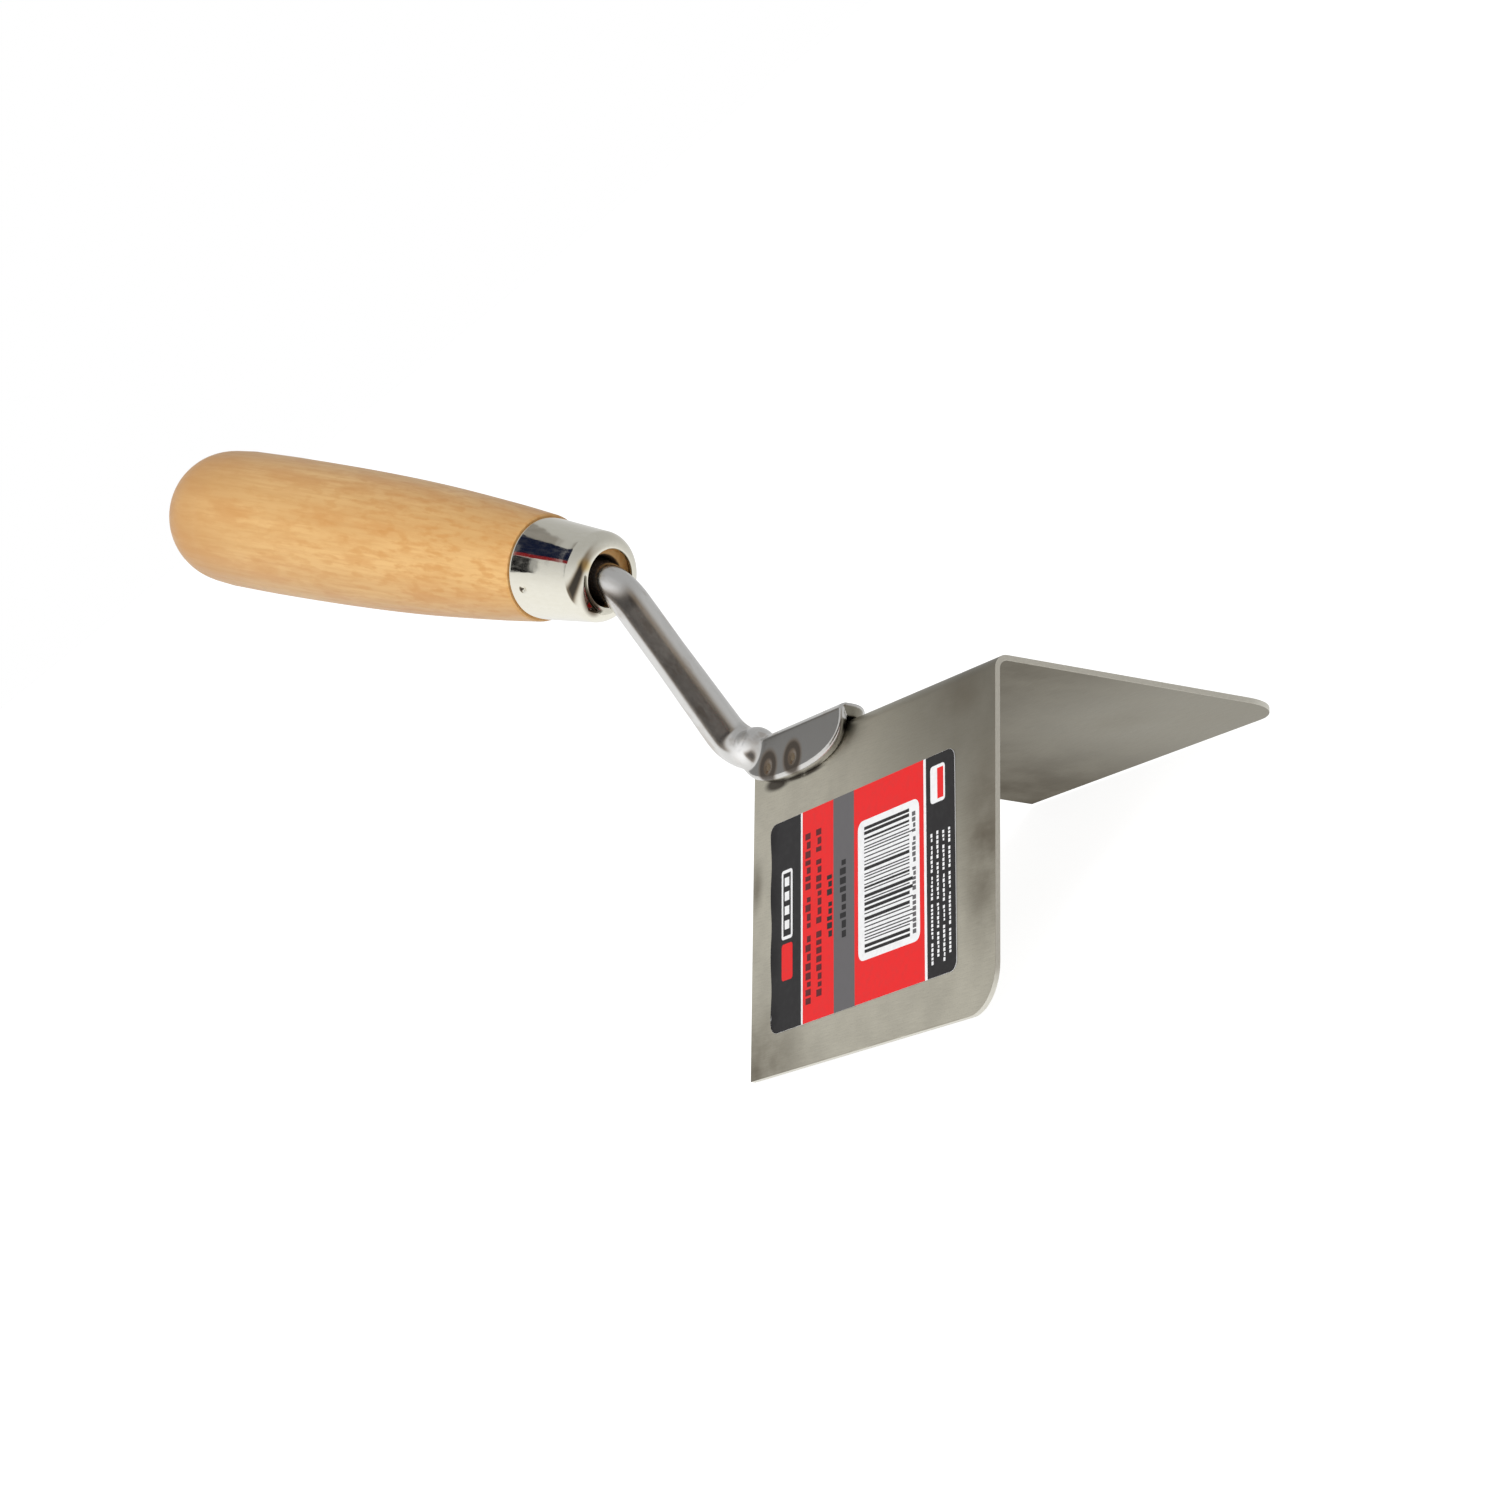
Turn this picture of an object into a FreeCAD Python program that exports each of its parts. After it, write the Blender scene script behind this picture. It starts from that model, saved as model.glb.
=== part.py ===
"""Corner trowel for outside corners: a folded sheet blade on a cranked steel tang with a turned handle.

Row frame, millimetres: +X runs along the fold towards the nose, +Z points up out of the convex side of
the fold, where the handle is. The origin is on the inside corner line of the blade, half way along it.
"""

import FreeCAD, Part
import math
import os
import Sketcher
from FreeCAD import Placement, Rotation, Vector

ROOT2 = math.sqrt(2)
X_AXIS = Vector(1, 0, 0)
Y_AXIS = Vector(0, 1, 0)
Z_AXIS = Vector(0, 0, 1)

# Driving dimensions: millimetres, and degrees for the one angle.
DIMENSIONS = {
    # blade
    "blade_length": 80.0,
    "wing_width": 60.0,
    "sheet": 1.0,
    "fold_radius": 2.5,
    "nose_corner": 8.0,
    # saddle: the rod end forged into an angle that straddles the fold
    "saddle_wall": 2.2,
    "saddle_rear_leg": 3.6,
    "saddle_front_leg": 4.6,
    "saddle_length": 33.0,
    "saddle_side_arc": 34.0,
    "saddle_toe_arc": 9.0,
    "saddle_toe": 3.5,
    "saddle_ridge": 1.6,
    "saddle_edge": 0.8,
    # spot welds
    "weld_radius": 1.6,
    "weld_depth": 0.6,
    "weld_first": 8.6,
    "weld_pitch": 8.6,
    "weld_down": 3.9,
    # rod
    "rod_radius": 3.5,
    "crank_top_x": -1.2,
    "crank_top_z": 41.1,
    "crank_foot_x": -3.6,
    "crank_foot_z": 1.2,
    "top_bend": 9.0,
    "foot_bend": 5.4,
    "rod_run_in": 2.6,
    "tail_length": 66.0,
    "tail_point": 9.0,
    "tail_tip_radius": 1.6,
    # handle, measured along its own axis from the butt
    "handle_tilt": 25.3,
    "grip_length": 104.3,
    "grip_radius": 13.45,
    "grip_front_radius": 9.95,
    "grip_side_arc": 780.0,
    "butt_dome_arc": 16.0,
    "butt_dome_rim": 6.9,
    "butt_corner_arc": 11.3,
    "butt_corner_end": 9.5,
    "butt_corner_radius": 12.55,
    "butt_shoulder_arc": 41.0,
    "butt_shoulder_end": 18.2,
    "crank_station": 122.2,
    "bore_relief": 0.65,
    # ferrule
    "ferrule_length": 16.8,
    "ferrule_rear_radius": 9.45,
    "ferrule_front_radius": 8.4,
    "ferrule_shoulder": 3.2,
    "ferrule_wall": 0.6,
    "ferrule_mouth": 5.8,
    "stake_radius": 1.1,
    "stake_depth": 0.35,
    "stake_inset": 2.6,
    # label
    "label_length": 60.6,
    "label_height": 38.0,
    "label_film": 0.12,
    "label_corner": 1.8,
    "label_centre_x": 37.6,
    "label_centre_down": 33.1,
    "label_skew": 1.2,
}

doc = FreeCAD.newDocument("corner_trowel")
sheet = doc.addObject("Spreadsheet::Sheet", "Dims")


def fill_sheet():
    for row, (alias, value) in enumerate(DIMENSIONS.items(), start=1):
        sheet.set(f"A{row}", alias)
        sheet.set(f"B{row}", str(value))
        sheet.setAlias(f"B{row}", alias)
    doc.recompute()


def size(expression):
    """The value of an expression over the sheet's cells, such as "Dims.sheet * 2"."""
    value = sheet.evalExpression(expression)
    return float(getattr(value, "Value", value))


# ---- placements shared by several pieces ----


def row_shift():
    """Moves the fold's rear end on the outer corner line to its place in the row frame."""
    return Vector(-size("Dims.blade_length") / 2, 0, size("Dims.sheet") * ROOT2)


def wing_placement():
    """Wing frame: one wing hangs along -Z, the other lies along +Y, and the fold is the X axis."""
    return Placement(row_shift(), Rotation(X_AXIS, -45))


def crank_top():
    return row_shift() + Vector(size("Dims.crank_top_x"), 0, size("Dims.crank_top_z"))


def handle_placement():
    """Handle frame: +X runs from the butt to the mouth, with the butt at the origin."""
    turn = Rotation(Y_AXIS, size("Dims.handle_tilt"))
    along = turn.multVec(X_AXIS)
    return Placement(crank_top() - along * size("Dims.crank_station"), turn)


# ---- sketch helpers ----


def body(label):
    return doc.addObject("PartDesign::Body", label + "_body")


def sketch_on(owner, role, name):
    made = owner.newObject("Sketcher::SketchObject", name)
    plane = next(f for f in owner.Origin.OriginFeatures if f.Role == role)
    made.AttachmentSupport = [(plane, "")]
    made.MapMode = "FlatFace"
    doc.recompute()
    return made


def pin_point(sketch, edge, end, x, y):
    """Ties one end of an edge to the sketch origin by two expressions over the sheet."""
    for kind, expression in (("DistanceX", x), ("DistanceY", y)):
        index = sketch.addConstraint(
            Sketcher.Constraint(kind, -1, 1, edge, end, size(expression))
        )
        sketch.setExpression(f"Constraints[{index}]", expression)


def closed_outline(sketch, corners):
    """Draws a closed outline. A corner is (x, y) or (x, y, radius): the edge that leaves it is an arc.

    A positive radius bulges to the left of the direction of travel, a negative one to the right.
    """
    places = [Vector(size(c[0]), size(c[1]), 0) for c in corners]
    edges = []
    for i, corner in enumerate(corners):
        start, end = places[i], places[(i + 1) % len(places)]
        if len(corner) == 2:
            edges.append((sketch.addGeometry(Part.LineSegment(start, end)), 1, 2))
        else:
            edges.append(add_arc(sketch, start, end, size(corner[2])))
    for i, (edge, _, last) in enumerate(edges):
        following, first, _ = edges[(i + 1) % len(edges)]
        sketch.addConstraint(Sketcher.Constraint("Coincident", edge, last, following, first))
    for corner, (edge, first, _) in zip(corners, edges):
        pin_point(sketch, edge, first, corner[0], corner[1])
        if len(corner) == 3:
            index = sketch.addConstraint(
                Sketcher.Constraint("Radius", edge, abs(size(corner[2])))
            )
            sketch.setExpression(f"Constraints[{index}]", f"abs({corner[2]})")
    doc.recompute()


def add_arc(sketch, start, end, radius):
    chord = end - start
    left = Vector(-chord.y, chord.x, 0).normalize()
    side = 1 if radius > 0 else -1
    reach = abs(radius)
    depth = math.sqrt(reach**2 - (chord.Length / 2) ** 2)
    centre = (start + end) / 2 - left * side * depth
    crown = centre + left * side * reach
    arc = Part.Arc(start, crown, end).toShape().Curve
    turns_left = (start - centre).cross(crown - centre).z > 0
    first = math.atan2(start.y - centre.y, start.x - centre.x)
    last = math.atan2(end.y - centre.y, end.x - centre.x)
    circle = Part.Circle(centre, Z_AXIS, arc.Radius)
    if turns_left:
        return sketch.addGeometry(Part.ArcOfCircle(circle, first, last)), 1, 2
    return sketch.addGeometry(Part.ArcOfCircle(circle, last, first)), 2, 1


def pad(owner, sketch, length):
    made = owner.newObject("PartDesign::Pad", sketch.Name + "_pad")
    made.Profile = sketch
    made.setExpression("Length", length)
    doc.recompute()
    return made


def revolve(owner, sketch):
    made = owner.newObject("PartDesign::Revolution", sketch.Name + "_turned")
    made.Profile = sketch
    made.ReferenceAxis = (sketch, ["H_Axis"])
    made.Angle = 360
    doc.recompute()
    return made


def edge_names(shape, wanted):
    return [f"Edge{i}" for i, edge in enumerate(shape.Edges, start=1) if wanted(edge)]


def round_edges(owner, base, name, radius, wanted):
    made = owner.newObject("PartDesign::Fillet", name)
    made.Base = (base, edge_names(base.Shape, wanted))
    made.setExpression("Radius", radius)
    doc.recompute()
    return made


def primitive(kind, name, placement, **sizes):
    made = doc.addObject("Part::" + kind, name)
    for key, expression in sizes.items():
        made.setExpression(key, expression)
    made.Placement = placement
    doc.recompute()
    return made


def boolean(kind, name, base, tool):
    made = doc.addObject("Part::" + kind, name)
    made.Base = base
    made.Tool = tool
    doc.recompute()
    return made


def fuse_all(name, pieces):
    made = doc.addObject("Part::MultiFuse", name)
    made.Shapes = pieces
    made.Refine = True
    doc.recompute()
    return made


def mirror_over_fold(name, source):
    made = doc.addObject("Part::Mirroring", name)
    made.Source = source
    made.Normal = Y_AXIS
    made.Base = Vector(0, 0, 0)
    doc.recompute()
    return made


# ---- blade ----


def make_blade(weld_slugs):
    owner = body("blade")
    profile = sketch_on(owner, "YZ_Plane", "blade_profile")
    closed_outline(
        profile,
        [
            ("0", "0"),
            ("0", "-Dims.wing_width"),
            ("Dims.sheet", "-Dims.wing_width"),
            ("Dims.sheet", "-Dims.sheet"),
            ("Dims.wing_width", "-Dims.sheet"),
            ("Dims.wing_width", "0"),
        ],
    )
    strip = pad(owner, profile, "Dims.blade_length")
    thickness = size("Dims.sheet")
    width = size("Dims.wing_width")
    length = size("Dims.blade_length")

    def along_x_at(y, z):
        def test(edge):
            mid = edge.CenterOfMass
            return edge.Length > length / 2 and abs(mid.y - y) + abs(mid.z - z) < 1e-3

        return test

    bent = round_edges(owner, strip, "fold_outside", "Dims.fold_radius", along_x_at(0, 0))
    bent = round_edges(
        owner,
        bent,
        "fold_inside",
        "Dims.fold_radius - Dims.sheet",
        along_x_at(thickness, -thickness),
    )

    def nose_corner(edge):
        mid = edge.CenterOfMass
        at_nose = abs(mid.x - length) < 1e-3
        at_wing_end = abs(mid.y - width) < 1e-3 or abs(mid.z + width) < 1e-3
        return at_nose and at_wing_end and abs(edge.Length - thickness) < 1e-3

    round_edges(owner, bent, "nose_corners", "Dims.nose_corner", nose_corner)
    owner.Placement = wing_placement()
    doc.recompute()
    return boolean("Cut", "blade", owner, weld_slugs)


# ---- spot welds ----


def weld_stations():
    first = "Dims.weld_first"
    return [first, f"{first} + Dims.weld_pitch"]


def make_weld_slugs(name):
    """Four round slugs of weld metal, two through the seam on each wing."""
    owner = body(name)
    sketch = sketch_on(owner, "XZ_Plane", name + "_circles")
    for station in weld_stations():
        centre = Vector(size(station), -size("Dims.weld_down"), 0)
        circle = sketch.addGeometry(Part.Circle(centre, Z_AXIS, size("Dims.weld_radius")))
        pin_point(sketch, circle, 3, station, "-Dims.weld_down")
        index = sketch.addConstraint(
            Sketcher.Constraint("Radius", circle, size("Dims.weld_radius"))
        )
        sketch.setExpression(f"Constraints[{index}]", "Dims.weld_radius")
    slugs = pad(owner, sketch, "2 * Dims.weld_depth")
    slugs.Midplane = True
    owner.Placement = wing_placement()
    doc.recompute()
    other_wing = mirror_over_fold(name + "_other_wing", owner)
    return fuse_all(name, [owner, other_wing])


# ---- tang ----


def arc_between(before, corner, after, radius):
    """The fillet arc at a corner of the rod's centre line, as (start, middle, end)."""
    back = (before - corner).normalize()
    ahead = (after - corner).normalize()
    half = back.getAngle(ahead) / 2
    reach = radius / math.tan(half)
    start = corner + back * reach
    end = corner + ahead * reach
    bisector = (back + ahead).normalize()
    middle = corner + bisector * (radius / math.sin(half) - radius)
    return start, middle, end


def rod_points():
    top = crank_top()
    foot = row_shift() + Vector(size("Dims.crank_foot_x"), 0, size("Dims.crank_foot_z"))
    along = handle_placement().Rotation.multVec(X_AXIS)
    tail = top - along * size("Dims.tail_length")
    toe = Vector(row_shift().x + size("Dims.rod_run_in"), 0, foot.z)
    return tail, top, foot, toe


def centre_line(name, whole):
    """The rod's centre line from the tail to the saddle, or only its stretch round the top bend."""
    tail, top, foot, toe = rod_points()
    top_arc = arc_between(tail, top, foot, size("Dims.top_bend"))
    foot_arc = arc_between(top, foot, toe, size("Dims.foot_bend"))
    if whole:
        edges = [
            Part.makeLine(tail, top_arc[0]),
            Part.Arc(*top_arc).toShape(),
            Part.makeLine(top_arc[2], foot_arc[0]),
            Part.Arc(*foot_arc).toShape(),
            Part.makeLine(foot_arc[2], toe),
        ]
    else:
        lead = (tail - top_arc[0]).normalize() * size("2 * Dims.rod_radius")
        edges = [Part.makeLine(top_arc[0] + lead, top_arc[0]), Part.Arc(*top_arc).toShape()]
    made = doc.addObject("Part::Feature", name)
    made.Shape = Part.Wire(edges)
    return made


def swept_rod(name, whole, radius):
    path = centre_line(name + "_path", whole)
    first = path.Shape.Edges[0]
    start = first.Vertexes[0].Point
    heading = first.tangentAt(first.FirstParameter)
    profile = doc.addObject("Part::Circle", name + "_section")
    profile.setExpression("Radius", radius)
    profile.Placement = Placement(start, Rotation(Z_AXIS, heading))
    doc.recompute()
    rod = doc.addObject("Part::Sweep", name)
    rod.Sections = [profile]
    rod.Spine = (path, [f"Edge{i + 1}" for i in range(len(path.Shape.Edges))])
    rod.Solid = True
    rod.Frenet = False
    doc.recompute()
    return rod


def make_saddle_plate():
    """One side of the saddle: a tongue-shaped plate with a rounded rim, lying on a wing."""
    owner = body("saddle_plate")
    outline = sketch_on(owner, "XZ_Plane", "saddle_outline")
    toe_start = "Dims.saddle_length - Dims.saddle_toe"
    closed_outline(
        outline,
        [
            ("0", "Dims.saddle_wall"),
            ("0", "-Dims.saddle_rear_leg", "-Dims.saddle_side_arc"),
            (toe_start, "-Dims.saddle_front_leg", "-Dims.saddle_toe_arc"),
            ("Dims.saddle_length", "Dims.saddle_wall"),
        ],
    )
    plate = pad(owner, outline, "Dims.saddle_wall")
    wall = size("Dims.saddle_wall")

    def outer_rim(edge):
        curved = hasattr(edge.Curve, "Radius")
        return curved and abs(edge.CenterOfMass.y + wall) < 1e-3

    round_edges(owner, plate, "saddle_rim", "Dims.saddle_edge", outer_rim)
    owner.Placement = wing_placement()
    doc.recompute()
    return owner


def make_ridge_cutter():
    """A bar that pares the sharp corner over the fold down to a rounded ridge."""
    owner = body("ridge_cutter")
    outline = sketch_on(owner, "YZ_Plane", "ridge_outline")
    closed_outline(
        outline,
        [
            ("-Dims.saddle_wall", "Dims.saddle_wall"),
            ("-Dims.saddle_wall", "Dims.saddle_wall - Dims.saddle_ridge", "Dims.saddle_ridge"),
            ("Dims.saddle_ridge - Dims.saddle_wall", "Dims.saddle_wall"),
        ],
    )
    pad(owner, outline, "Dims.saddle_length")
    owner.Placement = wing_placement()
    doc.recompute()
    return owner


def make_saddle():
    plate = make_saddle_plate()
    angle = fuse_all("saddle_angle", [plate, mirror_over_fold("saddle_plate_other_wing", plate)])
    return boolean("Cut", "saddle", angle, make_ridge_cutter())


def make_tang(weld_slugs):
    rod = swept_rod("rod", True, "Dims.rod_radius")
    tail, _, _, toe = rod_points()
    nose = primitive("Sphere", "rod_nose", Placement(toe, Rotation()), Radius="Dims.rod_radius")
    point = primitive(
        "Cone",
        "tail_cone",
        Placement(tail, Rotation(Z_AXIS, -handle_placement().Rotation.multVec(X_AXIS))),
        Radius1="Dims.rod_radius",
        Radius2="Dims.tail_tip_radius",
        Height="Dims.tail_point",
    )
    forged = fuse_all("forged_rod", [rod, nose, point, make_saddle()])
    envelope = primitive(
        "Box",
        "blade_envelope",
        wing_placement() * Placement(Vector(0, 0, -size("Dims.wing_width")), Rotation()),
        Length="Dims.blade_length",
        Width="Dims.wing_width",
        Height="Dims.wing_width",
    )
    seated = boolean("Cut", "seated_tang", forged, envelope)
    return boolean("Cut", "tang", seated, weld_slugs)


# ---- handle and ferrule ----

FERRULE_END = "Dims.grip_length + Dims.ferrule_length"
SEAT_REAR = "Dims.ferrule_rear_radius - Dims.ferrule_wall"
SEAT_FRONT = "Dims.ferrule_front_radius - Dims.ferrule_wall"


def make_handle():
    owner = body("handle")
    profile = sketch_on(owner, "XZ_Plane", "handle_profile")
    nose = f"{FERRULE_END} - Dims.ferrule_wall"
    shoulder = f"{FERRULE_END} - Dims.ferrule_shoulder"
    inner_shoulder = "Dims.ferrule_shoulder - Dims.ferrule_wall"
    bore_end = "Dims.crank_station - Dims.tail_length"
    dome_depth = "Dims.butt_dome_arc - sqrt(Dims.butt_dome_arc ^ 2 - Dims.butt_dome_rim ^ 2)"
    closed_outline(
        profile,
        [
            ("0", "0", "Dims.butt_dome_arc"),
            (dome_depth, "Dims.butt_dome_rim", "Dims.butt_corner_arc"),
            ("Dims.butt_corner_end", "Dims.butt_corner_radius", "Dims.butt_shoulder_arc"),
            ("Dims.butt_shoulder_end", "Dims.grip_radius", "Dims.grip_side_arc"),
            ("Dims.grip_length", "Dims.grip_front_radius"),
            ("Dims.grip_length", SEAT_REAR),
            (shoulder, SEAT_FRONT, inner_shoulder),
            (nose, "Dims.ferrule_front_radius - Dims.ferrule_shoulder"),
            (nose, "Dims.rod_radius"),
            (bore_end, "Dims.rod_radius"),
            (f"{bore_end} - Dims.tail_point", "Dims.tail_tip_radius"),
            (f"{bore_end} - Dims.tail_point", "0"),
        ],
    )
    revolve(owner, profile)
    owner.Placement = handle_placement()
    doc.recompute()
    relief = swept_rod("bore_relief", False, "Dims.rod_radius + Dims.bore_relief")
    return boolean("Cut", "handle", owner, relief)


def make_ferrule():
    owner = body("ferrule")
    profile = sketch_on(owner, "XZ_Plane", "ferrule_profile")
    shoulder = f"{FERRULE_END} - Dims.ferrule_shoulder"
    inner_front = "Dims.ferrule_front_radius - Dims.ferrule_shoulder"
    inner_shoulder = "Dims.ferrule_shoulder - Dims.ferrule_wall"
    closed_outline(
        profile,
        [
            ("Dims.grip_length", SEAT_REAR),
            ("Dims.grip_length", "Dims.ferrule_rear_radius"),
            (shoulder, "Dims.ferrule_front_radius", "Dims.ferrule_shoulder"),
            (FERRULE_END, inner_front),
            (f"{FERRULE_END} - Dims.ferrule_wall", inner_front, f"-({inner_shoulder})"),
            (shoulder, SEAT_FRONT),
        ],
    )
    revolve(owner, profile)
    owner.Placement = handle_placement()
    doc.recompute()
    mouth = primitive(
        "Cylinder",
        "mouth_cutter",
        handle_placement() * Placement(Vector(size("Dims.grip_length"), 0, 0), Rotation(Y_AXIS, 90)),
        Radius="Dims.ferrule_mouth",
        Height="2 * Dims.ferrule_length",
    )
    opened = boolean("Cut", "open_ferrule", owner, mouth)
    stakes = fuse_all("stakes", [make_stake(side) for side in (-1, 1)])
    return boolean("Cut", "ferrule", opened, stakes)


def make_stake(side):
    """A ball that leaves one punched dimple near the ferrule's rear edge."""
    name = "stake_near" if side < 0 else "stake_far"
    station = size("Dims.grip_length + Dims.stake_inset")
    out = size("Dims.ferrule_rear_radius + Dims.stake_radius - Dims.stake_depth")
    centre = Vector(station, side * out, 0)
    return primitive(
        "Sphere",
        name,
        handle_placement() * Placement(centre, Rotation()),
        Radius="Dims.stake_radius",
    )


# ---- label ----


def make_label():
    owner = body("label")
    outline = sketch_on(owner, "XZ_Plane", "label_outline")
    half_long = "Dims.label_length / 2"
    half_high = "Dims.label_height / 2"
    closed_outline(
        outline,
        [
            (f"-{half_long}", f"-{half_high}"),
            (half_long, f"-{half_high}"),
            (half_long, half_high),
            (f"-{half_long}", half_high),
        ],
    )
    film = pad(owner, outline, "Dims.label_film")
    thickness = size("Dims.label_film")
    round_edges(
        owner,
        film,
        "label_corners",
        "Dims.label_corner",
        lambda edge: abs(edge.Length - thickness) < 1e-4,
    )
    centre = Vector(size("Dims.label_centre_x"), 0, -size("Dims.label_centre_down"))
    skew = Placement(centre, Rotation(Y_AXIS, -size("Dims.label_skew")))
    owner.Placement = wing_placement() * skew
    doc.recompute()
    return owner


# ---- checks and export ----


def export(pieces):
    for made in doc.Objects:
        if {"Invalid", "Error"} & set(made.State):
            raise RuntimeError(f"{made.Name} failed: {made.State}")
    os.makedirs("parts", exist_ok=True)
    for label, piece in pieces.items():
        piece.Label = label
        shape = piece.Shape
        if shape.isNull() or not shape.isValid() or not shape.Solids:
            raise RuntimeError(f"{label} has no valid solid")
        shape.exportStep(f"parts/{label}.step")
        print(label, len(shape.Solids), "solids", round(shape.Volume, 2), "mm3", shape.BoundBox)


fill_sheet()
slugs = make_weld_slugs("spot_welds")
blade = make_blade(slugs)
tang = make_tang(slugs)
handle = make_handle()
ferrule = make_ferrule()
label = make_label()
export(
    {
        "blade": blade,
        "spot_welds": slugs,
        "tang": tang,
        "handle": handle,
        "ferrule": ferrule,
        "label": label,
    }
)
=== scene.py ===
import math
import random

import bpy
import numpy as np
from mathutils import Matrix, Vector


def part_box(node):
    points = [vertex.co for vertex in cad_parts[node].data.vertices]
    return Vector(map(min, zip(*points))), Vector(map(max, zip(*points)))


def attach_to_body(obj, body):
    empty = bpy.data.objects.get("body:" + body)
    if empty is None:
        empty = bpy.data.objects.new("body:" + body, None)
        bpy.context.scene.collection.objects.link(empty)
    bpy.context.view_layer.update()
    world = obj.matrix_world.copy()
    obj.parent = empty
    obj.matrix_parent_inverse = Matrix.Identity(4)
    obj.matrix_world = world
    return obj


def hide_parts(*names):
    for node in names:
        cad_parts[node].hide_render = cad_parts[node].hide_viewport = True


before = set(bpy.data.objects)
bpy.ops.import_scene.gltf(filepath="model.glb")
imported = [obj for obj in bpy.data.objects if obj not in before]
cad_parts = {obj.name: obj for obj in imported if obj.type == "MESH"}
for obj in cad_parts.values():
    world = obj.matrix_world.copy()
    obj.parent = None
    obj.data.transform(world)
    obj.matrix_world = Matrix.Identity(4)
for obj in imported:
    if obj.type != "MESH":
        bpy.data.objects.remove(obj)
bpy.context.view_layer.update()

MM = 0.001
SLANT = math.sqrt(0.5)

# Sizes in millimetres, in the roof frame: X forward from the blade's rear end, Z up from the outer corner
# line of the fold. "Along" is X, and "down" is the distance from that line down the outside of a wing.
blade_low, blade_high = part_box("blade")
BLADE_LENGTH = (blade_high.x - blade_low.x) / MM
WING = blade_high.y / SLANT / MM
SHEET = 1.0
FOLD_RADIUS = 2.5
NOSE_CORNER = 8.0
ROOF = Vector((blade_low.x, 0, SHEET * MM / SLANT))

ROD_RADIUS = 3.5
ROD_SWELL = 0.35
CRANK_TOP = np.array([-1.2, 41.1])
CRANK_FOOT = np.array([-3.6, 1.2])
TOP_BEND = 9.0
FOOT_BEND = 5.4
TOE = np.array([0.5, 1.2])
TILT = math.radians(25.3)
TAIL_SEEN = 22.0
TAIL_LENGTH = 66.0
TAIL_POINT = 9.0

SADDLE_WALL = 2.2
SADDLE_MIDDLE = 16.5
SADDLE_REAR_REACH = 17.8
SADDLE_FRONT_REACH = 16.0
SADDLE_LEAN = 0.75
SADDLE_LEG = 7.2
SADDLE_POWER = 2.4
SADDLE_RIDGE = 1.5
SADDLE_RIM = 1.0

# Handle frame: X from the butt to the mouth along the handle's axis.
MOUTH = 121.3
CRANK_STATION = 122.2
GRIP = 104.3
FERRULE_REAR = 9.45
FERRULE_FRONT = 8.4
FERRULE_SHOULDER = 3.2
FERRULE_WALL = 0.6
MOUTH_RADIUS = 5.3
BORE = 4.5
HOLE_SHIFT = 0.95
HANDLE_TURN = Matrix.Rotation(TILT, 3, "Y")
HANDLE_AXIS = HANDLE_TURN @ Vector((1, 0, 0))
BUTT = Vector((CRANK_TOP[0], 0, CRANK_TOP[1])) * MM + ROOF - HANDLE_AXIS * CRANK_STATION * MM


def roof_to_row(points):
    """Millimetres in the roof frame to metres in the row frame."""
    return np.asarray(points, float) * MM + np.array(ROOF)


def wing_point(side, along, down, height):
    """A point over a wing: side is -1 for the labelled wing and 1 for the plain one."""
    return np.array([along, side * (down + height) * SLANT, (height - down) * SLANT])


# ---- meshes ----


def make_mesh(name, points, faces, materials, smooth_angle=math.radians(35)):
    mesh = bpy.data.meshes.new(name)
    mesh.from_pydata([tuple(p) for p in points], [], faces)
    mesh.validate()
    mesh.update()
    obj = bpy.data.objects.new(name, mesh)
    bpy.context.scene.collection.objects.link(obj)
    for material in materials:
        mesh.materials.append(material)
    mesh.shade_smooth()
    mesh.set_sharp_from_angle(angle=smooth_angle)
    return obj


def add_bevel(obj, width, segments=2):
    bevel = obj.modifiers.new("edge", "BEVEL")
    bevel.width = width * MM
    bevel.segments = segments
    bevel.limit_method = "ANGLE"
    bevel.angle_limit = math.radians(50)
    bevel.harden_normals = True
    return obj


def attach(obj, slot, *nodes):
    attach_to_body(obj, "root")
    if nodes:
        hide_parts(*nodes)
    return obj


def lathe(name, profile, materials, around=128, dent=None, shift=None):
    """Turns a closed (x, radius) outline about X. Points of radius 0 become poles.

    dent(x, turn) is taken off the radius, and shift(x, radius) moves a ring sideways.
    """
    points, rings, faces = [], [], []
    for x, r in profile:
        if r < 1e-6:
            rings.append([len(points)] * around)
            points.append((x, 0, 0))
            continue
        rings.append(list(range(len(points), len(points) + around)))
        for k in range(around):
            turn = 2 * math.pi * k / around
            reach = r - (dent(x, turn) if dent else 0)
            aside = shift(x, r) if shift else 0
            points.append((x, reach * math.cos(turn) + aside, reach * math.sin(turn)))
    for i in range(len(rings)):
        first, second = rings[i], rings[(i + 1) % len(rings)]
        for k in range(around):
            j = (k + 1) % around
            corners = [first[k], second[k], second[j], first[j]]
            loop = [c for n, c in enumerate(corners) if c != corners[n - 1]]
            if len(loop) > 2:
                faces.append(loop)
    placed = [BUTT + HANDLE_TURN @ Vector(p) * MM for p in points]
    obj = make_mesh(name, placed, faces, materials)
    turned = obj.data.attributes.new("turned", "FLOAT_VECTOR", "POINT")
    turned.data.foreach_set("vector", np.array(points, float).ravel())
    return obj


def arc(centre, radius, first, last, count):
    """Points of an arc in the (x, radius) plane, angles in degrees."""
    turns = np.radians(np.linspace(first, last, count))
    return [(centre[0] + radius * math.cos(t), centre[1] + radius * math.sin(t)) for t in turns]


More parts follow.
